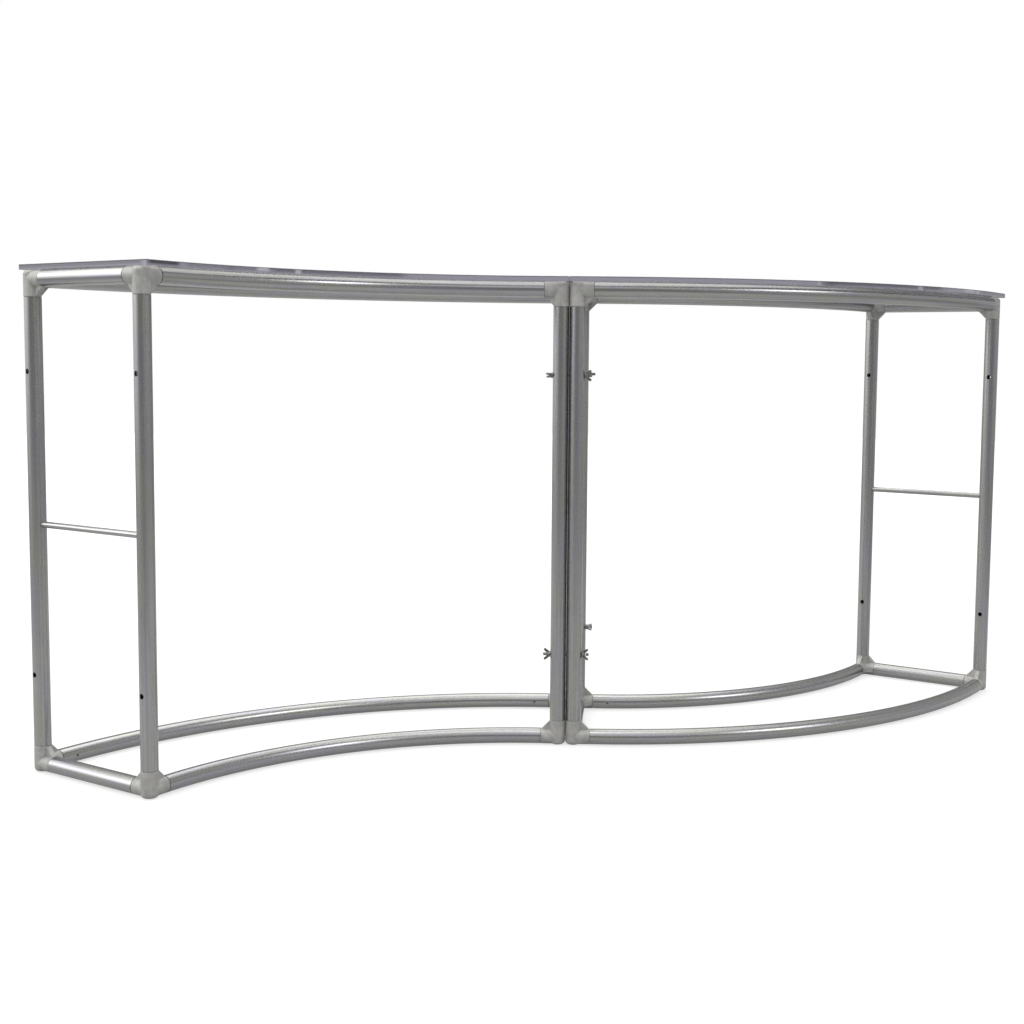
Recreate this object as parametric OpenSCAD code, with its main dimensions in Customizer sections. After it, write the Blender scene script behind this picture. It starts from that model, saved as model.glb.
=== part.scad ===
// Serpentine exhibition counter: two curved tube-frame modules bolted end to end into an S plan,
// each with a clear tinted top. Millimetres, +Z up, origin on the floor under the middle joint.
// The left module curves towards the customer's side (-Y), the right module curves away from it.

/* [Tube] */
// Outside diameter of every frame tube
tube_d = 32; // [28:1:45]
// Wall of every frame tube
tube_wall = 1.5; // [1:0.1:2.5]

/* [Plan] */
// Angle that one module turns through
module_angle = 60; // [30:5:75]
// Radius of a module's centre line between its corner castings
centre_radius = 921; // [700:1:1500]
// Distance between the front and rear post axes
row_spacing = 300; // [220:10:420]
// Clear gap between the posts of the two modules
module_gap = 1; // [1:0.5:6]

/* [Height] */
// Height over the top tubes
frame_h = 955; // [700:5:1200]
// Height of a bolt hole above the bottom tube axis, and below the top tube axis
hole_inset = 173; // [120:1:260]

/* [Corner casting] */
// Reach of each arm from the post axis to its shoulder
arm_len = 34; // [30:1:60]
// Radius of the rounded edge round the foot or head of the casting
corner_round = 8; // [4:0.5:13]
// Radius by which the upright body stands proud of the tubes
body_proud = 0.3; // [0.2:0.05:0.4]
// Thickness of the flat gusset webs between the arms
web_t = 10; // [5:1:16]
// Length of each arm beyond the gusset's end
web_land = 1; // [1:0.5:6]
// Length of the spigot that each tube slides over
spigot_len = 40; // [36:1:60]
// Draft on the spigot, as the loss of radius over its length
spigot_draft = 1.1; // [0.9:0.1:2]
// Bevel round each arm's shoulder
shoulder_bevel = 0.8; // [0.4:0.1:1.5]
// Open seam between an arm's shoulder and the end of its tube
seam_gap = 0.6; // [0.2:0.1:1.5]

/* [Brace rod] */
// Diameter of the thin rod between the two posts of an end frame
rod_d = 12; // [8:0.5:16]
// Depth that the rod enters each post, from the post's outer face
rod_entry = 9; // [5:0.5:14]

/* [Rail screws] */
// Diameter of the set screws that lock the rails
screw_d = 5; // [3:0.5:7]
// Length of each set screw
screw_len = 8; // [5:0.5:10]
// Distance of a set screw from the seam, along the rail
screw_reach = 33; // [18:1:35]
// Width across the flats of the set screw's socket
socket_af = 2.5; // [1.5:0.25:3]

/* [Counter top] */
// Thickness of the tinted sheet
top_t = 10; // [5:1:18]
// Overhang of the sheet past the rails, on either side
top_overhang = 10; // [4:1:40]
// Reach of the sheet past the axes of the outer posts
top_end_reach = 10; // [6:1:40]
// Bevel of the sheet's long edges
top_bevel = 0.8; // [0.3:0.1:1.5]
// Gap between the two sheets over the middle joint
top_gap = 1.5; // [0.5:0.5:6]

/* [Wing bolts] */
// Shank diameter of the wing bolts
bolt_d = 6; // [5:0.5:8]
// Diameter of the bolt holes through the posts
hole_d = 10; // [8:0.5:12]
// Length of bolt that stands out past the nut's seat
bolt_end = 15; // [8:1:24]
// Span over the two wings
wing_span = 24; // [20:1:34]
// Height of the wing tips above the seat
wing_h = 13.5; // [10:0.5:18]
// Thickness of the wings
wing_t = 2.6; // [1.5:0.2:4]
// Diameter of the hub at its seat
hub_d = 12; // [10:0.5:16]
// Diameter of the hub at its free end
hub_tip_d = 9; // [8:0.5:12]
// Height of the hub
hub_h = 6.5; // [5:0.5:10]

/* [Fits] */
// Gap under a piece that rests on another and can move
seat_gap = 0.3; // [0.2:0.05:0.5]
// Radial clearance of what slides into a hole or a tube
fit = 0.1; // [0.05:0.05:0.2]

/* [Hidden] */
$fn = 64;

tube_r = tube_d / 2;
bore_r = tube_r - tube_wall;
post_x = module_gap / 2 + tube_r;
low_z = tube_r;
high_z = frame_h - tube_r;
mid_z = frame_h / 2;
round_land = 2;
body_r = tube_r + body_proud;
round_r = min(corner_round, tube_r - round_land);
web_end = arm_len - max(web_land, shoulder_bevel);
web_bite = 1;
spigot_r = bore_r - fit;
spigot_tip_bevel = 1.5;
spigot_root = 1;
rod_r = rod_d / 2;
screw_r = screw_d / 2;
screw_sink = 0.4;
top_half_w = row_spacing / 2 + tube_r + top_overhang;
sheet_steps = 360;
bolt_r = bolt_d / 2;
seat_x = post_x + tube_r + seat_gap;
wing_tip_r = 2.5;
wing_root_r = 2.8;
wing_lift = 0.4;
bolt_tip_bevel = 0.8;
cut = 1;

tube_colour = [0.60, 0.61, 0.61];
casting_colour = [0.55, 0.55, 0.53];
zinc_colour = [0.42, 0.42, 0.43];
top_colour = [0.42, 0.40, 0.50, 0.6];

// Plan of the modules
// A module is drawn as the left one. The right one is the same module turned half a turn about Z,
// so its front row is the long arc and the left one's front row is the short arc.
function row_sign(side, row) = (side == "left") == (row == "rear") ? 1 : -1;
function row_radius(side, row) = centre_radius + row_sign(side, row) * row_spacing / 2;
function post_side(side, end, row) = (end == "outer" ? 1 : -1) * row_sign(side, row);
function level_z(level) = level == "top" ? high_z : low_z;
function degrees_along(length, radius) = length / radius * 180 / PI;

module turned(side) rotate(side == "left" ? 0 : 180) children();

module flipped(axis, on) {
    if (on) mirror(axis) children();
    else children();
}

// The centre that a module curves round
module at_arc(side) turned(side) translate([-post_x - arm_len, -centre_radius, 0]) children();

// The middle of an end frame, with +X along the rails into the module
module at_end(side, end) {
    if (end == "inner") turned(side) translate([-post_x, 0, 0]) rotate(180) children();
    else at_arc(side) rotate(module_angle) translate([-arm_len, centre_radius, 0]) children();
}

module at_post(side, end, row)
    at_end(side, end) translate([0, post_side(side, end, row) * row_spacing / 2, 0]) children();

// A set screw's place on a rail's axis, with +Z out through the side that faces into the bay
module at_rail_screw(side, row, level, end) {
    radius = row_radius(side, row);
    turn = degrees_along(screw_reach, radius);
    at_arc(side) rotate(end == "outer" ? module_angle - turn : turn)
        translate([0, radius, level_z(level)]) rotate([row_sign(side, row) * 90, 0, 0]) children();
}

// Tubes
module straight_tube(length) {
    difference() {
        cylinder(h = length, r = tube_r, center = true);
        cylinder(h = length + 2 * cut, r = bore_r, center = true);
    }
}

module post(side, end, row) {
    color(tube_colour) at_post(side, end, row) difference() {
        translate([0, 0, mid_z]) straight_tube(high_z - low_z - 2 * (arm_len + seam_gap));
        for (z = [low_z + hole_inset, high_z - hole_inset])
            translate([0, 0, z]) rotate([0, 90, 0]) cylinder(h = tube_d + 2 * cut, d = hole_d, center = true);
        translate([0, 0, mid_z]) rotate([post_side(side, end, row) * 90, 0, 0])
            cylinder(h = tube_r + cut, r = rod_r + fit);
    }
}

module cross_tube(side, end, level) {
    color(tube_colour) at_end(side, end) translate([0, 0, level_z(level)])
        rotate([90, 0, 0]) straight_tube(row_spacing - 2 * (arm_len + seam_gap));
}

module brace_rod(side, end) {
    color(tube_colour) at_end(side, end) translate([0, 0, mid_z]) rotate([90, 0, 0])
        cylinder(h = row_spacing - tube_d + 2 * rod_entry, r = rod_r, center = true);
}

module rail(side, row, level) {
    radius = row_radius(side, row);
    gap_turn = degrees_along(seam_gap, radius);
    color(tube_colour) difference() {
        at_arc(side) translate([0, 0, level_z(level)]) rotate(90 + gap_turn)
            rotate_extrude(angle = module_angle - 2 * gap_turn) translate([radius, 0]) rotate(-90) difference() {
                circle(r = tube_r);
                circle(r = bore_r);
            }
        for (end = ["inner", "outer"])
            at_rail_screw(side, row, level, end) cylinder(h = tube_r + cut, r = screw_r + fit);
    }
}

// Corner castings
// The casting is drawn for a bottom corner. Its upright body stands on +Z and has a rounded foot, and its
// other arms lie on +X and +Y. Each arm has a shoulder and a drafted spigot.
module rounded_foot() {
    translate([0, 0, -tube_r]) cylinder(h = tube_r, r = body_r - round_r);
    translate([0, 0, round_r - tube_r]) {
        rotate_extrude() translate([body_r - round_r, 0]) intersection() {
            circle(r = round_r);
            translate([0, -round_r]) square([round_r, round_r]);
        }
        cylinder(h = tube_r - round_r, r = body_r);
    }
}

module spigot() {
    drafted_len = spigot_len - spigot_tip_bevel;
    tip_r = spigot_r - spigot_draft;
    translate([0, 0, arm_len - spigot_root])
        cylinder(h = spigot_root + drafted_len, r1 = spigot_r, r2 = tip_r);
    translate([0, 0, arm_len + drafted_len])
        cylinder(h = spigot_tip_bevel, r1 = tip_r, r2 = tip_r - spigot_tip_bevel);
}

module casting_arm(radius) {
    cylinder(h = arm_len - shoulder_bevel, r = radius);
    translate([0, 0, arm_len - shoulder_bevel])
        cylinder(h = shoulder_bevel, r1 = radius, r2 = radius - shoulder_bevel);
    spigot();
}

// The web in the corner between the arms on +X and +Y
module web() {
    linear_extrude(web_t, center = true)
        polygon([[0, 0], [web_end, 0], [web_end, tube_r - web_bite], [tube_r - web_bite, web_end], [0, web_end]]);
}

module corner_casting() {
    rounded_foot();
    casting_arm(body_r);
    rotate([0, 90, 0]) casting_arm(tube_r);
    rotate([-90, 0, 0]) casting_arm(tube_r);
    web();
    rotate([90, 0, 0]) web();
    rotate([0, -90, 0]) web();
}

module corner(side, end, row, level) {
    color(casting_colour) difference() {
        at_post(side, end, row) translate([0, 0, level_z(level)])
            flipped([0, 0, 1], level == "top") flipped([0, 1, 0], post_side(side, end, row) > 0) corner_casting();
        at_rail_screw(side, row, level, end) translate([0, 0, tube_r - screw_sink - screw_len - fit])
            cylinder(h = tube_r, r = screw_r + fit);
    }
}

module rail_screws(side) {
    color(zinc_colour) for (row = ["front", "rear"], level = ["bottom", "top"], end = ["inner", "outer"])
        at_rail_screw(side, row, level, end) translate([0, 0, tube_r - screw_sink - screw_len]) difference() {
            cylinder(h = screw_len, r = screw_r, $fn = 24);
            translate([0, 0, screw_len / 2]) cylinder(h = screw_len, d = socket_af / cos(30), $fn = 6);
        }
}

// Counter tops
module top_outline() {
    polygon([[-top_half_w, top_bevel], [top_bevel - top_half_w, 0], [top_half_w - top_bevel, 0],
             [top_half_w, top_bevel], [top_half_w, top_t - top_bevel], [top_half_w - top_bevel, top_t],
             [top_bevel - top_half_w, top_t], [-top_half_w, top_t - top_bevel]]);
}

// The sheet is straight over the middle joint's castings. At the outer end its arc runs on and is cut
// off square to the end frame.
module counter_top(side) {
    outer_len = arm_len + top_end_reach;
    run_on = atan2(outer_len + 2 * cut, centre_radius - top_half_w);
    color(top_colour) at_arc(side) translate([0, 0, frame_h + seat_gap]) difference() {
        union() {
            rotate(90) rotate_extrude(angle = module_angle + run_on, $fn = sheet_steps)
                translate([centre_radius, 0]) top_outline();
            rotate([90, 0, 90]) linear_extrude(arm_len + post_x - top_gap / 2)
                translate([centre_radius, 0]) top_outline();
        }
        rotate(module_angle) translate([-outer_len - top_half_w, centre_radius - top_half_w - cut, -cut])
            cube([top_half_w, 2 * (top_half_w + cut), top_t + 2 * cut]);
    }
}

// Wing bolts and nuts
// Corners of the straight band that touches two circles
function tangent_band(c1, r1, c2, r2) =
    let (d = c2 - c1, turn = atan2(d[1], d[0]), lean = acos((r1 - r2) / norm(d)))
    [for (p = [[c1, r1, 1], [c2, r2, 1], [c2, r2, -1], [c1, r1, -1]])
        p[0] + p[1] * [cos(turn + p[2] * lean), sin(turn + p[2] * lean)]];

module wings() {
    root = [hub_d / 2 - wing_root_r, wing_root_r + wing_lift];
    tip = [wing_span / 2 - wing_tip_r, wing_h - wing_tip_r];
    rotate([90, 0, 0]) linear_extrude(wing_t, center = true) for (side = [0, 1]) flipped([1, 0], side == 1) {
        translate(root) circle(r = wing_root_r);
        translate(tip) circle(r = wing_tip_r);
        polygon(tangent_band(root, wing_root_r, tip, wing_tip_r));
    }
}

module hub() cylinder(h = hub_h, d1 = hub_d, d2 = hub_tip_d);

// Where a wing bolt passes through the two modules, with its head on -X
module at_bolt(level, row) {
    translate([0, (row == "rear" ? 1 : -1) * row_spacing / 2,
               level == "upper" ? high_z - hole_inset : low_z + hole_inset])
        rotate(level == "lower" ? 180 : 0) children();
}

module wing_bolt(level, row, turn) {
    shank_len = 2 * seat_x + bolt_end;
    color(zinc_colour) at_bolt(level, row) rotate([turn, 0, 0]) {
        translate([-seat_x, 0, 0]) rotate([0, -90, 0]) {
            hub();
            wings();
        }
        translate([-seat_x, 0, 0]) rotate([0, 90, 0]) {
            cylinder(h = shank_len - bolt_tip_bevel, r = bolt_r);
            translate([0, 0, shank_len - bolt_tip_bevel])
                cylinder(h = bolt_tip_bevel, r1 = bolt_r, r2 = bolt_r - bolt_tip_bevel);
        }
    }
}

module wing_nut(level, row, turn) {
    color(zinc_colour) at_bolt(level, row) rotate([turn, 0, 0]) translate([seat_x, 0, 0]) rotate([0, 90, 0])
        difference() {
            union() {
                hub();
                wings();
            }
            translate([0, 0, -cut]) cylinder(h = wing_h + 2 * cut, r = bolt_r + fit);
        }
}

post("left", "outer", "front");  // left_outer_front_post
post("left", "outer", "rear");  // left_outer_rear_post
post("left", "inner", "front");  // left_inner_front_post
post("left", "inner", "rear");  // left_inner_rear_post
post("right", "outer", "front");  // right_outer_front_post
post("right", "outer", "rear");  // right_outer_rear_post
post("right", "inner", "front");  // right_inner_front_post
post("right", "inner", "rear");  // right_inner_rear_post
corner("left", "outer", "front", "bottom");  // left_outer_front_bottom_corner
corner("left", "outer", "front", "top");  // left_outer_front_top_corner
corner("left", "outer", "rear", "bottom");  // left_outer_rear_bottom_corner
corner("left", "outer", "rear", "top");  // left_outer_rear_top_corner
corner("left", "inner", "front", "bottom");  // left_inner_front_bottom_corner
corner("left", "inner", "front", "top");  // left_inner_front_top_corner
corner("left", "inner", "rear", "bottom");  // left_inner_rear_bottom_corner
corner("left", "inner", "rear", "top");  // left_inner_rear_top_corner
corner("right", "outer", "front", "bottom");  // right_outer_front_bottom_corner
corner("right", "outer", "front", "top");  // right_outer_front_top_corner
corner("right", "outer", "rear", "bottom");  // right_outer_rear_bottom_corner
corner("right", "outer", "rear", "top");  // right_outer_rear_top_corner
corner("right", "inner", "front", "bottom");  // right_inner_front_bottom_corner
corner("right", "inner", "front", "top");  // right_inner_front_top_corner
corner("right", "inner", "rear", "bottom");  // right_inner_rear_bottom_corner
corner("right", "inner", "rear", "top");  // right_inner_rear_top_corner
rail("left", "front", "bottom");  // left_front_bottom_rail
rail("left", "front", "top");  // left_front_top_rail
rail("left", "rear", "bottom");  // left_rear_bottom_rail
rail("left", "rear", "top");  // left_rear_top_rail
rail("right", "front", "bottom");  // right_front_bottom_rail
rail("right", "front", "top");  // right_front_top_rail
rail("right", "rear", "bottom");  // right_rear_bottom_rail
rail("right", "rear", "top");  // right_rear_top_rail
cross_tube("left", "outer", "bottom");  // left_outer_bottom_cross_tube
cross_tube("left", "outer", "top");  // left_outer_top_cross_tube
cross_tube("left", "inner", "bottom");  // left_inner_bottom_cross_tube
cross_tube("left", "inner", "top");  // left_inner_top_cross_tube
cross_tube("right", "outer", "bottom");  // right_outer_bottom_cross_tube
cross_tube("right", "outer", "top");  // right_outer_top_cross_tube
cross_tube("right", "inner", "bottom");  // right_inner_bottom_cross_tube
cross_tube("right", "inner", "top");  // right_inner_top_cross_tube
brace_rod("left", "outer");  // left_outer_brace_rod
brace_rod("left", "inner");  // left_inner_brace_rod
brace_rod("right", "outer");  // right_outer_brace_rod
brace_rod("right", "inner");  // right_inner_brace_rod
rail_screws("left");  // left_rail_screws
rail_screws("right");  // right_rail_screws
counter_top("left");  // left_counter_top
counter_top("right");  // right_counter_top
wing_bolt("upper", "front", 70);  // upper_front_wing_bolt
wing_bolt("upper", "rear", 75);  // upper_rear_wing_bolt
wing_bolt("lower", "front", 14);  // lower_front_wing_bolt
wing_bolt("lower", "rear", 65);  // lower_rear_wing_bolt
wing_nut("upper", "front", 22);  // upper_front_wing_nut
wing_nut("upper", "rear", 90);  // upper_rear_wing_nut
wing_nut("lower", "front", 5);  // lower_front_wing_nut
wing_nut("lower", "rear", 8);  // lower_rear_wing_nut
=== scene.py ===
"""Looks for the serpentine exhibition counter: two curved aluminium tube frames, wing-bolted end to end,
each under a loose tinted sheet. Metres, +Z up, origin on the floor under the middle joint.
"""

from __future__ import annotations

import logging
import math
from dataclasses import dataclass, field
from enum import Enum
from typing import Any, Iterator, Sequence, Union

import bpy
import numpy as np
from mathutils import Matrix, Vector


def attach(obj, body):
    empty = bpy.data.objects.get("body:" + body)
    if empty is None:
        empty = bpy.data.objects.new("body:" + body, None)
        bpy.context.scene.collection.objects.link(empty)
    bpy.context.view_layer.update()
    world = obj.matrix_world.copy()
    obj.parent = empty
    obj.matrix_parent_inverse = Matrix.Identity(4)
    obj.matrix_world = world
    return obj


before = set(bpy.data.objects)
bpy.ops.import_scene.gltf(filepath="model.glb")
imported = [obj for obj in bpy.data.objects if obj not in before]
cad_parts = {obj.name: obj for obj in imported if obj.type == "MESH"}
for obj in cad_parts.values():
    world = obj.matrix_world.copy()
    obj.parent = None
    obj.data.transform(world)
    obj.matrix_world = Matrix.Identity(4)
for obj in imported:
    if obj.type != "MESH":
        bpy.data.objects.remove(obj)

LOG = logging.getLogger("counter")
WHITE = (1.0, 1.0, 1.0, 1.0)
BLACK = (0.0, 0.0, 0.0, 1.0)
NOISE_SPREAD = (0.3, 0.7)
Colour = tuple[float, float, float, float]
# A range is where a smooth step starts and ends. A span is a start, an end, the fade outside and the depth.
Range = tuple[float, float]
Span = tuple[float, float, float, float]
Value = Union["Sock", float, Sequence[float]]


class Side(str, Enum):
    """The two curved modules."""

    LEFT = "left"
    RIGHT = "right"


class Row(str, Enum):
    """The customer's side and the far side."""

    FRONT = "front"
    REAR = "rear"


class End(str, Enum):
    """The end frame at the middle joint and the free one."""

    INNER = "inner"
    OUTER = "outer"


class Level(str, Enum):
    """The height of a rail, cross tube or corner."""

    BOTTOM = "bottom"
    TOP = "top"


class Hole(str, Enum):
    """The height of a bolt hole in a post."""

    UPPER = "upper"
    LOWER = "lower"


# Shader building


class Sock:
    """A node socket that takes part in Python arithmetic by adding Math nodes."""

    def __init__(self, net: "Net", socket: bpy.types.NodeSocket | None) -> None:
        """Wraps one output socket.

        Args:
            net: The node tree that the socket belongs to.
            socket: The output socket. An output node has none.
        """
        self.net = net
        self.socket = socket

    def _math(self, operation: str, left: Value, right: Value) -> "Sock":
        """Adds a Math node with two inputs."""
        return self.net.node("ShaderNodeMath", {"operation": operation}, {0: left, 1: right})

    def __add__(self, other: Value) -> "Sock":
        """self + other."""
        return self._math("ADD", self, other)

    __radd__ = __add__

    def __sub__(self, other: Value) -> "Sock":
        """self - other."""
        return self._math("SUBTRACT", self, other)

    def __rsub__(self, other: Value) -> "Sock":
        """other - self."""
        return self._math("SUBTRACT", other, self)

    def __mul__(self, other: Value) -> "Sock":
        """self * other."""
        return self._math("MULTIPLY", self, other)

    __rmul__ = __mul__

    def __truediv__(self, other: Value) -> "Sock":
        """self / other."""
        return self._math("DIVIDE", self, other)

    def power(self, exponent: Value) -> "Sock":
        """self raised to exponent."""
        return self._math("POWER", self, exponent)

    def arctan2(self, other: Value) -> "Sock":
        """The angle of the point (other, self), in radians."""
        return self._math("ARCTAN2", self, other)

    def absolute(self) -> "Sock":
        """The value without its sign."""
        return self.net.node("ShaderNodeMath", {"operation": "ABSOLUTE"}, {0: self})

    def step(self, low: float, high: float) -> "Sock":
        """A smooth step from 0 at low to 1 at high.

        Args:
            low: Value that maps to 0.
            high: Value that maps to 1. It may be below low.

        Returns:
            The stepped value.
        """
        return self.net.node(
            "ShaderNodeMapRange",
            {"interpolation_type": "SMOOTHSTEP", "clamp": True},
            {"Value": self, "From Min": low, "From Max": high, "To Min": 0.0, "To Max": 1.0},
        )


class Net:
    """The node tree of a material or of the world, with a method that adds any node."""

    def __init__(self, owner: bpy.types.Material | bpy.types.World) -> None:
        """Empties the owner's node tree.

        Args:
            owner: The material or the world.
        """
        self.owner = owner
        owner.use_nodes = True
        self.tree = owner.node_tree
        self.tree.nodes.clear()

    @classmethod
    def named(cls, name: str) -> "Net":
        """The empty tree of a new material."""
        return cls(bpy.data.materials.new(name))

    def node(
        self,
        kind: str,
        settings: dict[str, Any] | None = None,
        inputs: dict[int | str, Value] | None = None,
        out: int | str = 0,
    ) -> Sock:
        """Adds a node, sets it up and links it.

        Args:
            kind: The node's type, such as ShaderNodeMath.
            settings: Properties that are set before the sockets.
            inputs: Values or links by socket name or index.
            out: The output to return.

        Returns:
            The chosen output.
        """
        made = self.tree.nodes.new(kind)
        for key, value in (settings or {}).items():
            setattr(made, key, value)
        for key, value in (inputs or {}).items():
            if isinstance(value, Sock):
                self.tree.links.new(value.socket, made.inputs[key])
            else:
                made.inputs[key].default_value = value
        return Sock(self, made.outputs[out] if len(made.outputs) else None)

    def blend(self, factor: Value, low: Value, high: Value) -> Sock:
        """Mixes two colours.

        Args:
            factor: 0 gives low, 1 gives high.
            low: Colour at 0.
            high: Colour at 1.

        Returns:
            The mixed colour.
        """
        return self.node(
            "ShaderNodeMix", {"data_type": "RGBA", "clamp_factor": True}, {0: factor, 6: low, 7: high}, out=2
        )

    def place(self) -> tuple[Sock, Sock, Sock, Sock]:
        """The place on the surface, in the counter's own frame.

        Returns:
            The vector and its x, y and z.
        """
        where = self.node("ShaderNodeTexCoord", out="Object")
        split = [self.node("ShaderNodeSeparateXYZ", inputs={0: where}, out=i) for i in range(3)]
        return (where, *split)

    def vector(self, x: Value, y: Value, z: Value) -> Sock:
        """Joins three values into a vector."""
        return self.node("ShaderNodeCombineXYZ", inputs={0: x, 1: y, 2: z})

    def noise(self, where: Value, scale: float = 1.0, detail: float = 2.0, roughness: float = 0.5) -> Sock:
        """A noise pattern.

        Args:
            where: The pattern's coordinates.
            scale: Features per unit.
            detail: Octaves.
            roughness: Weight of the finer octaves.

        Returns:
            A value around 0.5, mostly within NOISE_SPREAD.
        """
        return self.node(
            "ShaderNodeTexNoise",
            {"noise_dimensions": "3D"},
            {"Vector": where, "Scale": scale, "Detail": detail, "Roughness": roughness},
        )

    def bump(self, height: Value, distance: float, strength: float) -> Sock:
        """A bump normal.

        Args:
            height: The height pattern.
            distance: Depth in metres for a height of 1.
            strength: Share of the bump.

        Returns:
            The normal.
        """
        shape: dict[int | str, Value] = {"Height": height, "Distance": distance, "Strength": strength}
        return self.node("ShaderNodeBump", inputs=shape)

    def ray(self, kind: str) -> Sock:
        """1 for rays of one kind, such as Is Camera Ray, and 0 for the others."""
        return self.node("ShaderNodeLightPath", out=kind)

    def surface(self, **sockets: Value) -> bpy.types.Material:
        """Ends the tree with a Principled shader.

        Args:
            **sockets: Socket names, with an underscore for each space, and their values.

        Returns:
            The finished material.
        """
        inputs = {name.replace("_", " "): value for name, value in sockets.items()}
        shader = self.node("ShaderNodeBsdfPrincipled", inputs=inputs)
        self.node("ShaderNodeOutputMaterial", inputs={"Surface": shader})
        return self.owner


# Axes of tubes, which give a pattern its way along and around the tube


@dataclass(frozen=True)
class StraightAxis:
    """The axis of a straight tube: its middle, half its length, and its turn about Z where it lies flat.

    The seam is how strong the dark line round the tube's ends is.
    """

    point: tuple[float, float, float]
    half_len: float
    upright: bool = True
    turn: float = 0.0
    seam: float = 0.35

    def local(self, net: Net) -> tuple[Sock, Sock, Sock]:
        """Two coordinates across the tube and one along it.

        Args:
            net: The material's tree.

        Returns:
            Both cross coordinates in metres, then the place along the axis.
        """
        _, x, y, z = net.place()
        x, y, z = x - self.point[0], y - self.point[1], z - self.point[2]
        if self.upright:
            return x, y, z
        c, s = math.cos(self.turn), math.sin(self.turn)
        return y * c - x * s, z, x * c + y * s

    def to_end(self, along: Sock) -> Sock:
        """Distance from the nearer end of the tube."""
        return self.half_len - along.absolute()


@dataclass(frozen=True)
class ArcAxis:
    """The axis of a tube bent round an upright centre line, which starts straight ahead of the centre.

    The seam is how strong the dark line round the tube's ends is.
    """

    centre: tuple[float, float]
    radius: float
    height: float
    sweep: float
    seam: float = 0.85

    def local(self, net: Net) -> tuple[Sock, Sock, Sock]:
        """Two coordinates across the tube and one along it.

        Args:
            net: The material's tree.

        Returns:
            Both cross coordinates in metres, then the arc length from the inner end.
        """
        _, x, y, z = net.place()
        x, y = x - self.centre[0], y - self.centre[1]
        out = (x * x + y * y).power(0.5)
        turn = x.arctan2(y * math.copysign(1.0, -self.centre[1])).absolute()
        return out - self.radius, z - self.height, turn * self.radius

    def to_end(self, along: Sock) -> Sock:
        """Distance from the nearer end of the tube."""
        half = self.sweep * self.radius / 2
        return half - (along - half).absolute()


Axis = Union[StraightAxis, ArcAxis]


# Finishes


@dataclass(frozen=True)
class DrawnAluminium:
    """Mill-finish tube: long draw lines, a faint mottle of oxide and handling marks."""

    dark: Colour = (0.265, 0.267, 0.265, 1.0)
    light: Colour = (0.430, 0.430, 0.430, 1.0)
    olive: Colour = (0.350, 0.356, 0.312, 1.0)
    violet: Colour = (0.338, 0.334, 0.380, 1.0)
    scuff: Colour = (0.680, 0.680, 0.670, 1.0)
    seam_dark: Colour = (0.190, 0.190, 0.182, 1.0)
    smooth: float = 0.19
    rough: float = 0.33
    metal: float = 0.92
    seam_width: float = 0.0016
    turns: float = 5.0
    run: float = 2.2
    fine_turns: float = 30.0
    fine_run: float = 9.0
    hue_turns: float = 1.5
    hue_run: float = 8.0
    mottle_scale: float = 45.0
    speck_scale: float = 420.0
    streak_range: Range = (0.28, 0.72)
    olive_range: Range = (0.50, 0.62)
    violet_range: Range = (0.50, 0.38)
    scuff_range: Range = (0.62, 0.80)
    scuff_patches: Range = (0.45, 0.65)
    speck_range: Range = (0.30, 0.80)
    streak_share: float = 0.64
    fine_share: float = 0.24
    mottle_share: float = 0.12
    hue_share: float = 0.60
    scuff_share: float = 0.40
    speck_share: float = 0.20
    bump_depth: float = 0.000012
    bump_share: float = 0.25

    @staticmethod
    def wrapped(net: Net, across: tuple[Sock, Sock], along: Sock, turns: float) -> Sock:
        """Coordinates on a cylinder: the unit vector across the tube times turns, then the run along it.

        Args:
            net: The material's tree.
            across: The unit vector across the tube.
            along: The run along the tube, with the tube's own shift.
            turns: Streaks round the tube.

        Returns:
            The vector.
        """
        return net.vector(across[0] * turns, across[1] * turns, along)

    def material(self, name: str, axis: Axis, seed: float) -> bpy.types.Material:
        """Builds the finish round one tube's axis.

        The streaks are noise on a cylinder: the unit vector across the tube times the number of streaks, with
        the place along the tube pressed together, so each patch is long and narrow.

        Args:
            name: The material's name.
            axis: The tube's axis.
            seed: Shift along the noise, so that no two tubes look alike.

        Returns:
            The material.
        """
        net = Net.named(name)
        a, b, along = axis.local(net)
        radius = (a * a + b * b).power(0.5) + 1e-6
        across = (a / radius, b / radius)
        drawn = self.wrapped(net, across, along * self.run + seed, self.turns)
        streak = net.noise(drawn, detail=3.0, roughness=0.6)
        close = self.wrapped(net, across, along * self.fine_run + seed, self.fine_turns)
        fine = net.noise(close, roughness=0.7)
        broad = self.wrapped(net, across, along * self.hue_run + seed, self.hue_turns)
        hue = net.noise(broad)
        where = net.place()[0]
        mottle = net.noise(where, self.mottle_scale, detail=4.0, roughness=0.65)
        speck = net.noise(where, self.speck_scale, roughness=0.6)
        level = (
            streak.step(*self.streak_range) * self.streak_share
            + fine.step(*NOISE_SPREAD) * self.fine_share
            + mottle.step(*NOISE_SPREAD) * self.mottle_share
        )
        base = net.blend(level, self.dark, self.light)
        base = net.blend(hue.step(*self.olive_range) * self.hue_share, base, self.olive)
        base = net.blend(hue.step(*self.violet_range) * self.hue_share, base, self.violet)
        scuffed = fine.step(*self.scuff_range) * mottle.step(*self.scuff_patches)
        base = net.blend(scuffed * self.scuff_share, base, self.scuff)
        # Darker line round the tube's ends.
        base = net.blend(axis.to_end(along).step(self.seam_width, 0.0) * axis.seam, base, self.seam_dark)
        uneven = (1.0 - level) * (1.0 - self.speck_share) + speck.step(*self.speck_range) * self.speck_share
        rough = uneven * (self.rough - self.smooth) + self.smooth
        normal = net.bump(fine, self.bump_depth, self.bump_share)
        return net.surface(Base_Color=base, Metallic=self.metal, Roughness=rough, Normal=normal)


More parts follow.
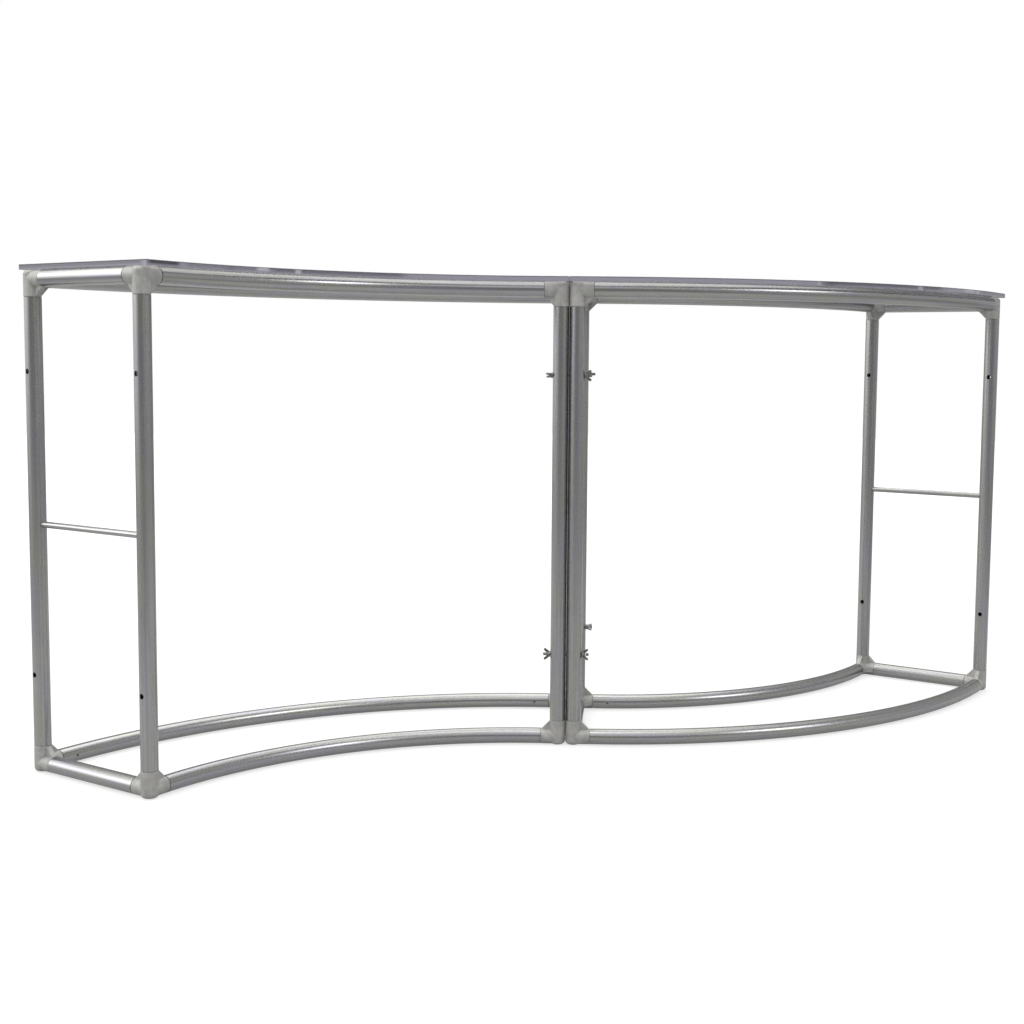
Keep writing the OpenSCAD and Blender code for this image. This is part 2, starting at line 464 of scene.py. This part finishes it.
@dataclass(frozen=True)
class CastAluminium:
    """As-cast corner: matte skin with a fine grain and a cloudy tone."""

    dark: Colour = (0.405, 0.403, 0.388, 1.0)
    light: Colour = (0.545, 0.542, 0.524, 1.0)
    grain: Colour = (0.600, 0.600, 0.580, 1.0)
    cloud_scale: float = 60.0
    skin_scale: float = 900.0
    grain_range: Range = (0.55, 0.75)
    grain_share: float = 0.35
    smooth: float = 0.52
    rough: float = 0.64
    metal: float = 0.25
    bump_depth: float = 0.00012
    bump_share: float = 0.45

    def material(self, name: str, seed: float) -> bpy.types.Material:
        """Builds the finish.

        Args:
            name: The material's name.
            seed: Shift of the pattern.

        Returns:
            The material.
        """
        net = Net.named(name)
        where = net.place()[0]
        shifted = net.node("ShaderNodeVectorMath", {"operation": "ADD"}, {0: where, 1: (seed, seed, seed)})
        cloud = net.noise(shifted, self.cloud_scale, detail=4.0, roughness=0.6)
        skin = net.noise(shifted, self.skin_scale, detail=3.0, roughness=0.6)
        level = cloud.step(*NOISE_SPREAD)
        base = net.blend(level, self.dark, self.light)
        base = net.blend(skin.step(*self.grain_range) * self.grain_share, base, self.grain)
        rough = level * (self.rough - self.smooth) + self.smooth
        normal = net.bump(skin, self.bump_depth, self.bump_share)
        return net.surface(Base_Color=base, Metallic=self.metal, Roughness=rough, Normal=normal)


@dataclass(frozen=True)
class DullZinc:
    """Zinc-plated hardware: darker than the tubes, cloudy and a little worn."""

    dark: Colour = (0.095, 0.095, 0.098, 1.0)
    light: Colour = (0.280, 0.280, 0.285, 1.0)
    cloud_scale: float = 350.0
    light_range: Range = (0.30, 0.72)
    smooth: float = 0.34
    rough: float = 0.49
    metal: float = 0.90
    bump_depth: float = 0.0001
    bump_share: float = 0.40

    def material(self, name: str) -> bpy.types.Material:
        """Builds the finish.

        Args:
            name: The material's name.

        Returns:
            The material.
        """
        net = Net.named(name)
        where = net.place()[0]
        cloud = net.noise(where, self.cloud_scale, detail=4.0, roughness=0.6)
        base = net.blend(cloud.step(*self.light_range), self.dark, self.light)
        rough = cloud.step(*NOISE_SPREAD) * (self.rough - self.smooth) + self.smooth
        normal = net.bump(cloud, self.bump_depth, self.bump_share)
        return net.surface(Base_Color=base, Metallic=self.metal, Roughness=rough, Normal=normal)


@dataclass(frozen=True)
class TintedSheet:
    """Tinted clear plastic: see-through faces, deeper colour in the polished edges.

    The painted dark reflections and the painted glints of the edges are spans along X: start, end,
    fade outside them, depth.
    """

    face: Colour = (0.50, 0.47, 0.57, 1.0)
    haze: Colour = (0.66, 0.64, 0.72, 1.0)
    edge: Colour = (0.440, 0.422, 0.512, 1.0)
    # Painted reflections in the edges: this dark colour is for the dark stretches, and also for the dark line
    # along the upper rim.
    edge_dark_reflection_and_rim: Colour = (0.055, 0.050, 0.066, 1.0)
    # Painted glints in the edges.
    edge_glint: Colour = (0.80, 0.79, 0.86, 1.0)
    face_alpha: float = 0.22
    edge_alpha: float = 0.95
    ior: float = 1.49
    face_gloss: float = 0.04
    gloss_power: float = 5.0
    smooth: float = 0.05
    rough: float = 0.10
    edge_slope: Range = (0.90, 0.35)
    haze_scale: float = 14.0
    haze_range: Range = (0.30, 0.75)
    haze_share: float = 0.25
    # Noise of painted dark reflections along the edges.
    dark_reflection_scale: float = 5.5
    dark_reflection_range: Range = (0.63, 0.70)
    dark_reflection_share: float = 0.40
    # Noise of painted glints along the edges.
    glint_scale: float = 17.0
    glint_range: Range = (0.70, 0.78)
    top_z: float = 0.9653
    rim_start: float = 0.0026
    rim_end: float = 0.00104
    rim_share: float = 0.85
    upper_start: float = 0.0090
    upper_end: float = 0.0045
    lower_share: float = 0.35
    # Spans of painted dark reflections along the edges.
    dark_reflection_spans: tuple[Span, ...] = (
        (-1.030, -0.737, 0.015, 0.52),
        (-0.712, -0.685, 0.008, 1.00),
        (-0.665, -0.580, 0.015, 0.38),
        (-0.540, -0.340, 0.030, 0.62),
        (0.545, 0.790, 0.040, 0.66),
        (0.940, 1.030, 0.020, 0.38),
    )
    # Spans of painted glints along the edges.
    glints: tuple[Span, ...] = (
        (-0.572, -0.562, 0.008, 0.75),
        (0.880, 0.900, 0.012, 0.60),
    )

    @staticmethod
    def windows(x: Sock, spans: tuple[Span, ...]) -> Sock:
        """Adds up smooth windows along the counter, each as deep as its span says.

        Args:
            x: The place along the counter.
            spans: The windows' spans.

        Returns:
            The sum.
        """
        first, *others = [
            x.step(start - fade, start) * x.step(end + fade, end) * depth for start, end, fade, depth in spans
        ]
        return sum(others, first)

    def material(self, name: str) -> bpy.types.Material:
        """Builds the finish.

        The edge mask is one where the surface's normal lies flat. An edge has a dark line along its upper
        rim, and painted reflections: darker stretches and brighter glints, as a polished edge shows where it
        gathers light, strongest in its upper half. Gloss at a glancing angle makes the sheet less
        see-through:
        it grows with the fifth power of one less the cosine.

        Args:
            name: The material's name.

        Returns:
            The material.
        """
        net = Net.named(name)
        where, x, y, z = net.place()
        normal = net.node("ShaderNodeNewGeometry", out="True Normal")
        upward = net.node("ShaderNodeSeparateXYZ", inputs={0: normal}, out=2)
        edge = (upward * upward).step(*self.edge_slope)
        haze = net.noise(where, self.haze_scale, detail=3.0, roughness=0.55).step(*self.haze_range)
        flat = net.vector(x, y, 0.0)
        # Noise of painted dark reflections along the edges.
        noise_dark_reflection = net.noise(flat, self.dark_reflection_scale)
        # Noise of painted glints along the edges.
        glint = net.noise(flat, self.glint_scale, detail=1.0, roughness=0.4)
        rim = z.step(self.top_z - self.rim_start, self.top_z - self.rim_end)
        upper = z.step(self.top_z - self.upper_start, self.top_z - self.upper_end)
        # Painted dark reflections along the edges, strongest in the upper half.
        placed_dark_reflection = self.windows(x, self.dark_reflection_spans) * (upper * (1.0 - self.lower_share) + self.lower_share)
        side = net.blend(placed_dark_reflection, self.edge, self.edge_dark_reflection_and_rim)
        side = net.blend(noise_dark_reflection.step(*self.dark_reflection_range) * self.dark_reflection_share, side, self.edge_dark_reflection_and_rim)
        # Painted glints along the edges, the placed ones in the upper half.
        side = net.blend(self.windows(x, self.glints) * upper, side, self.edge_glint)
        side = net.blend(glint.step(*self.glint_range), side, self.edge_glint)
        side = net.blend(rim * self.rim_share, side, self.edge_dark_reflection_and_rim)
        base = net.blend(edge, net.blend(haze * self.haze_share, self.face, self.haze), side)
        glancing = net.node("ShaderNodeLayerWeight", inputs={"Blend": 0.5}, out="Facing")
        gloss = glancing.power(self.gloss_power) * (1.0 - self.face_gloss) + self.face_gloss
        solid = edge * (self.edge_alpha - self.face_alpha) + self.face_alpha
        alpha = solid + (1.0 - solid) * gloss
        rough = haze * (self.rough - self.smooth) + self.smooth
        return net.surface(Base_Color=base, Metallic=0.0, Roughness=rough, Alpha=alpha, IOR=self.ior)


# The counter


@dataclass(frozen=True)
class Plan:
    """Where the pieces are, in metres, worked out from the counter's driving sizes."""

    tube_r: float = 0.016
    frame_h: float = 0.955
    module_gap: float = 0.001
    module_angle: float = math.radians(60)
    centre_radius: float = 0.921
    half_row: float = 0.150
    arm_len: float = 0.034
    seam_gap: float = 0.0006
    hole_inset: float = 0.173
    rod_entry: float = 0.009

    @property
    def post_x(self) -> float:
        """Distance of the inner posts' axes from the middle joint."""
        return self.module_gap / 2 + self.tube_r

    @property
    def mid_z(self) -> float:
        """Height of the posts' middles and of the brace rods."""
        return self.frame_h / 2

    @staticmethod
    def sign(side: Side) -> float:
        """1 for the left module, -1 for the right one, which is the left one turned half a turn."""
        return 1.0 if side is Side.LEFT else -1.0

    def arc_centre(self, side: Side) -> tuple[float, float]:
        """The centre that a module curves round."""
        s = self.sign(side)
        return -s * (self.post_x + self.arm_len), -s * self.centre_radius

    @staticmethod
    def row_sign(side: Side, row: Row) -> float:
        """1 for the long arc and -1 for the short one."""
        return 1.0 if (side is Side.LEFT) == (row is Row.REAR) else -1.0

    def row_radius(self, side: Side, row: Row) -> float:
        """Radius of a rail's axis."""
        return self.centre_radius + self.row_sign(side, row) * self.half_row

    def level(self, level: Level) -> float:
        """Height of a level's tube axes."""
        return self.frame_h - self.tube_r if level is Level.TOP else self.tube_r

    def hole_z(self, hole: Hole) -> float:
        """Height of a bolt hole, which is inset from the tubes of its level."""
        if hole is Hole.UPPER:
            return self.level(Level.TOP) - self.hole_inset
        return self.level(Level.BOTTOM) + self.hole_inset

    def post_axis(self, side: Side, end: End, row: Row) -> tuple[float, float]:
        """Where a post stands.

        Args:
            side: The module.
            end: The end frame.
            row: The row.

        Returns:
            The axis's x and y.
        """
        s = self.sign(side)
        radius = self.row_radius(side, row)
        if end is End.INNER:
            return -s * self.post_x, s * (radius - self.centre_radius)
        angle = self.module_angle
        x = -self.post_x - self.arm_len - radius * math.sin(angle) - self.arm_len * math.cos(angle)
        y = -self.centre_radius + radius * math.cos(angle) - self.arm_len * math.sin(angle)
        return s * x, s * y

    def end_turn(self, end: End) -> float:
        """Angle about Z of an end frame's cross tubes."""
        return math.pi / 2 + (self.module_angle if end is End.OUTER else 0.0)


@dataclass
class TubeFrame:
    """The tubes, corners, rods and screws of both modules."""

    plan: Plan = field(default_factory=Plan)
    tube: DrawnAluminium = field(default_factory=DrawnAluminium)
    cast: CastAluminium = field(default_factory=CastAluminium)
    zinc: DullZinc = field(default_factory=DullZinc)
    tube_shift: float = 3.7
    cast_shift: float = 0.31

    def tubes(self) -> Iterator[tuple[str, Axis]]:
        """Every tube's node name and axis."""
        plan = self.plan
        reach = plan.arm_len + plan.seam_gap
        tall = plan.frame_h / 2 - plan.tube_r - reach
        wide = plan.half_row - reach
        rod = plan.half_row - plan.tube_r + plan.rod_entry
        for side in Side:
            for end in End:
                for row in Row:
                    x, y = plan.post_axis(side, end, row)
                    yield f"{side.value}_{end.value}_{row.value}_post", StraightAxis((x, y, plan.mid_z), tall)
                front, rear = (plan.post_axis(side, end, row) for row in Row)
                middle = ((front[0] + rear[0]) / 2, (front[1] + rear[1]) / 2)
                turn = plan.end_turn(end)
                for level in Level:
                    yield (
                        f"{side.value}_{end.value}_{level.value}_cross_tube",
                        StraightAxis((*middle, plan.level(level)), wide, False, turn),
                    )
                yield (
                    f"{side.value}_{end.value}_brace_rod",
                    StraightAxis((*middle, plan.mid_z), rod, False, turn),
                )
            centre = plan.arc_centre(side)
            for row in Row:
                radius = plan.row_radius(side, row)
                for level in Level:
                    yield (
                        f"{side.value}_{row.value}_{level.value}_rail",
                        ArcAxis(centre, radius, plan.level(level), plan.module_angle),
                    )

    @staticmethod
    def corners() -> Iterator[str]:
        """Every corner casting's node name."""
        for side in Side:
            for end in End:
                for row in Row:
                    for level in Level:
                        yield f"{side.value}_{end.value}_{row.value}_{level.value}_corner"

    def dress(self) -> None:
        """Gives each tube, corner and screw its finish."""
        for count, (name, axis) in enumerate(self.tubes()):
            paint(name, self.tube.material(f"{name}_finish", axis, self.tube_shift * count))
        for count, name in enumerate(self.corners()):
            paint(name, self.cast.material(f"{name}_finish", self.cast_shift * count))
        screws = self.zinc.material("screw_zinc")
        for side in Side:
            paint(f"{side.value}_rail_screws", screws)


@dataclass
class CounterTops:
    """The two loose sheets."""

    sheet: TintedSheet = field(default_factory=TintedSheet)

    def dress(self) -> None:
        """Gives both sheets their finish."""
        clear = self.sheet.material("tinted_sheet")
        for side in Side:
            paint(f"{side.value}_counter_top", clear)


@dataclass(frozen=True)
class Thread:
    """Rolled thread on the bare end of a wing bolt, as a sleeve round the shank."""

    start: float = 0.0409
    length: float = 0.0061
    root: float = 0.00302
    depth: float = 0.00022
    inner: float = 0.0028
    pitch: float = 0.001
    run_out: float = 0.0008
    around: int = 40
    per_turn: int = 8

    def surface(self) -> np.ndarray:
        """Rings of the sleeve, in metres, on an axis along X.

        The radius is the root plus the depth times a ridge. The ridge is a triangle wave of the distance
        along the bolt in pitches less the angle in turns, and fades to nothing at both ends. One ring of the
        inner radius stands at either end, so that the rings join into a closed tube wall.

        Returns:
            An array of rings, points and coordinates.
        """
        steps = round(self.length / self.pitch * self.per_turn) + 1
        along = np.linspace(0.0, self.length, steps)[:, None]
        angle = np.linspace(0.0, 2 * math.pi, self.around, endpoint=False)[None, :]
        wave = (along / self.pitch - angle / (2 * math.pi)) % 1.0
        fade = np.clip(np.minimum(along, self.length - along) / self.run_out, 0.0, 1.0)
        radius = self.root + self.depth * fade * (1.0 - np.abs(2.0 * wave - 1.0))
        inside = np.full((1, self.around), self.inner)
        radius = np.concatenate([inside, radius, inside])
        place = self.start + np.concatenate([along[:1], along, along[-1:]]) + np.zeros_like(radius)
        return np.stack([place, radius * np.cos(angle), radius * np.sin(angle)], axis=-1)


@dataclass
class JointHardware:
    """Wing bolts and wing nuts of the middle joint."""

    plan: Plan = field(default_factory=Plan)
    zinc: DullZinc = field(default_factory=DullZinc)
    thread: Thread = field(default_factory=Thread)

    def dress(self) -> None:
        """Gives bolts and nuts their finish, and each bolt its thread."""
        plated = self.zinc.material("wing_zinc")
        for hole in Hole:
            for row in Row:
                for kind in ("bolt", "nut"):
                    paint(f"{hole.value}_{row.value}_wing_{kind}", plated)
                y = self.plan.half_row if row is Row.REAR else -self.plan.half_row
                rings = self.thread.surface() + np.array([0.0, y, self.plan.hole_z(hole)])
                sleeve = tube_wall(f"{hole.value}_{row.value}_thread", rings, plated)
                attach(sleeve, f"{hole.value}_{row.value}_bolt")


def tube_wall(name: str, rings: np.ndarray, material: bpy.types.Material) -> bpy.types.Object:
    """Joins rings of points into one closed wall.

    Each face joins two neighbouring points of a ring to the same two of the next ring. The last ring joins
    the first one, so the wall has no open edge.

    Args:
        name: The piece's name.
        rings: An array of rings, points and coordinates.
        material: Its material.

    Returns:
        The new object, which stands at the origin.
    """
    count, around = rings.shape[:2]
    ring = np.arange(count)[:, None]
    point = np.arange(around)[None, :]
    after, beside = (ring + 1) % count, (point + 1) % around
    this_ring, next_ring = ring * around, after * around
    faces = np.stack([this_ring + point, this_ring + beside, next_ring + beside, next_ring + point], axis=-1)
    mesh = bpy.data.meshes.new(name)
    mesh.from_pydata(rings.reshape(-1, 3).tolist(), [], faces.reshape(-1, 4).tolist())
    mesh.materials.append(material)
    piece = bpy.data.objects.new(name, mesh)
    bpy.context.scene.collection.objects.link(piece)
    LOG.info("%s built with %d faces", name, len(mesh.polygons))
    return piece


def paint(node: str, material: bpy.types.Material) -> None:
    """Puts a material in every slot of a CAD node.

    Args:
        node: The node's name.
        material: The material.
    """
    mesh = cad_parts[node].data
    if not mesh.materials:
        mesh.materials.append(material)
    for place in range(len(mesh.materials)):
        mesh.materials[place] = material
    LOG.info("%s dressed as %s", node, material.name)


# Studio


@dataclass(frozen=True)
class Lamp:
    """A soft rectangular lamp: its middle, the point that it faces, its size in metres, its watts."""

    name: str
    place: tuple[float, float, float]
    aim: tuple[float, float, float]
    size: tuple[float, float]
    power: float
    colour: tuple[float, float, float]

    def build(self) -> None:
        """Adds the lamp to the scene."""
        data = bpy.data.lights.new(self.name, "AREA")
        data.shape = "RECTANGLE"
        data.size, data.size_y = self.size
        data.energy = self.power
        data.color = self.colour
        lamp = bpy.data.objects.new(self.name, data)
        bpy.context.scene.collection.objects.link(lamp)
        facing = (Vector(self.aim) - Vector(self.place)).to_track_quat("-Z", "Y")
        lamp.matrix_world = Matrix.Translation(self.place) @ facing.to_matrix().to_4x4()
        LOG.info("%s lamp lit", self.name)


@dataclass(frozen=True)
class Studio:
    """Camera at the photograph's place, a soft lamp, a pale floor and a plain background.

    The levels named shine and window are what gloss sees of the room: in front, to the left and right, above,
    and in two windows. Their fades are ranges of a direction's x, y or z, or of how far it points the right
    window's way. Near and far are places on the floor.
    """

    eye: tuple[float, float, float] = (0.1149, -2.9931, 0.7996)
    yaw: float = -0.0428
    pitch: float = 0.0880
    roll: float = -0.0101
    lens: float = 48.919
    shift: tuple[float, float] = (-0.0512, -0.0297)
    room_level: float = 0.62
    front_shine: float = 0.30
    left_shine: float = 0.80
    right_shine: float = 0.30
    high_shine: float = 0.85
    zenith_shine: float = 0.35
    left_window: float = 2.3
    right_window: float = 6.5
    right_window_way: tuple[float, float, float] = (0.68, -0.47, 0.55)
    left_fade: Range = (-0.30, -0.95)
    right_fade: Range = (0.20, 0.90)
    leftward_fade: Range = (0.62, 0.22)
    far_side_fade: Range = (-0.20, 0.50)
    far_side_drop: float = 0.26
    high_fade: Range = (0.28, 0.52)
    zenith_fade: Range = (0.75, 0.95)
    left_window_side: Range = (-0.72, -0.90)
    left_window_sill: Range = (0.00, 0.22)
    left_window_head: Range = (0.60, 0.42)
    right_window_fade: Range = (0.965, 0.995)
    overhead: Lamp = Lamp(
        name="overhead",
        place=(-1.1, 0.3, 3.4),
        aim=(-0.9, 0.1, 0.5),
        size=(6.2, 4.5),
        power=120.0,
        colour=(1.0, 0.985, 0.955),
    )
    floor_colour: Colour = (0.40, 0.40, 0.40, 1.0)
    floor_rough: float = 0.9
    floor_radius: float = 12.0
    floor_drop: float = 0.0005
    floor_points: int = 96
    near_glow: float = 0.66
    far_glow: float = 0.90
    glow_reach: tuple[float, float] = (1.5, 6.0)
    near_gloss: float = 0.30
    far_gloss: float = 0.10
    gloss_reach: tuple[float, float] = (1.6, 3.4)

    def camera(self) -> None:
        """Places the camera by its yaw, pitch and roll."""
        cy, sy = math.cos(self.yaw), math.sin(self.yaw)
        cp, sp = math.cos(self.pitch), math.sin(self.pitch)
        cr, sr = math.cos(self.roll), math.sin(self.roll)
        ahead = np.array([sy * cp, cy * cp, -sp])
        right = np.array([cy, -sy, 0.0])
        down = np.cross(ahead, right)
        right, down = cr * right + sr * down, cr * down - sr * right
        data = bpy.data.cameras.new("photo_view")
        data.sensor_width = 36.0
        data.lens = self.lens
        data.shift_x, data.shift_y = self.shift
        data.clip_end = 50.0
        camera = bpy.data.objects.new("photo_view", data)
        bpy.context.scene.collection.objects.link(camera)
        turn = np.stack([right, -down, -ahead], axis=1)
        camera.matrix_world = Matrix.Translation(self.eye) @ Matrix(turn.tolist()).to_4x4()
        bpy.context.scene.camera = camera

    def room(self) -> None:
        """Sets the world: white to the camera, a pale room to gloss, an even level to the rest."""
        world = bpy.data.worlds.new("room")
        bpy.context.scene.world = world
        net = Net(world)
        way = net.node("ShaderNodeTexCoord", out="Generated")
        x, y, z = (net.node("ShaderNodeSeparateXYZ", inputs={0: way}, out=i) for i in range(3))
        left = x.step(*self.left_fade) * self.left_shine
        right = x.step(*self.right_fade) * self.right_shine
        leftward = x.step(*self.leftward_fade)
        height = z - y.step(*self.far_side_fade) * self.far_side_drop
        high = height.step(*self.high_fade) * leftward * self.high_shine
        zenith = z.step(*self.zenith_fade) * leftward * self.zenith_shine
        pane = z.step(*self.left_window_sill) * z.step(*self.left_window_head)
        left_window = x.step(*self.left_window_side) * pane * self.left_window
        to_x, to_y, to_z = self.right_window_way
        toward = x * to_x + y * to_y + z * to_z
        right_window = toward.step(*self.right_window_fade) * self.right_window
        shine = left + right + high + zenith + left_window + right_window + self.front_shine
        level = net.ray("Is Glossy Ray") * (shine - self.room_level) + self.room_level
        clear = net.ray("Is Camera Ray") + net.ray("Is Transmission Ray")
        level = clear * (1.0 - level) + level
        back = net.node("ShaderNodeBackground", inputs={"Color": WHITE, "Strength": level})
        net.node("ShaderNodeOutputWorld", inputs={"Surface": back})

    def floor(self) -> None:
        """Lays a pale disc that a camera sees as near white, with the counter's shadow kept."""
        turn = np.linspace(0.0, 2 * math.pi, self.floor_points, endpoint=False)
        rim = np.stack([np.cos(turn), np.sin(turn), np.zeros_like(turn)], axis=1) * self.floor_radius
        rim[:, 2] = -self.floor_drop
        mesh = bpy.data.meshes.new("floor")
        mesh.from_pydata(rim.tolist(), [], [list(range(len(rim)))])
        disc = bpy.data.objects.new("floor", mesh)
        bpy.context.scene.collection.objects.link(disc)
        net = Net.named("pale_floor")
        _, x, y, _ = net.place()
        away = (x * x + y * y).power(0.5)
        glow = away.step(*self.glow_reach) * (self.far_glow - self.near_glow) + self.near_glow
        gloss = away.step(*self.gloss_reach) * (self.far_gloss - self.near_gloss) + self.near_gloss
        seen = net.ray("Is Camera Ray") + net.ray("Is Transmission Ray")
        light = net.blend(seen * glow + net.ray("Is Glossy Ray") * gloss, BLACK, WHITE)
        finish = net.surface(
            Base_Color=self.floor_colour,
            Roughness=self.floor_rough,
            Emission_Color=light,
            Emission_Strength=1.0,
        )
        mesh.materials.append(finish)

    def build(self) -> None:
        """Sets up everything that isn't part of the object."""
        bpy.context.scene.view_settings.view_transform = "Standard"
        self.camera()
        self.overhead.build()
        self.room()
        self.floor()


def main() -> None:
    """Dresses the frame, the tops and the hardware, and builds the studio."""
    logging.basicConfig(level=logging.INFO, format="%(message)s")
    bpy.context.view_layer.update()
    plan = Plan()
    TubeFrame(plan).dress()
    CounterTops().dress()
    JointHardware(plan).dress()
    Studio().build()


if __name__ == "__main__":
    main()
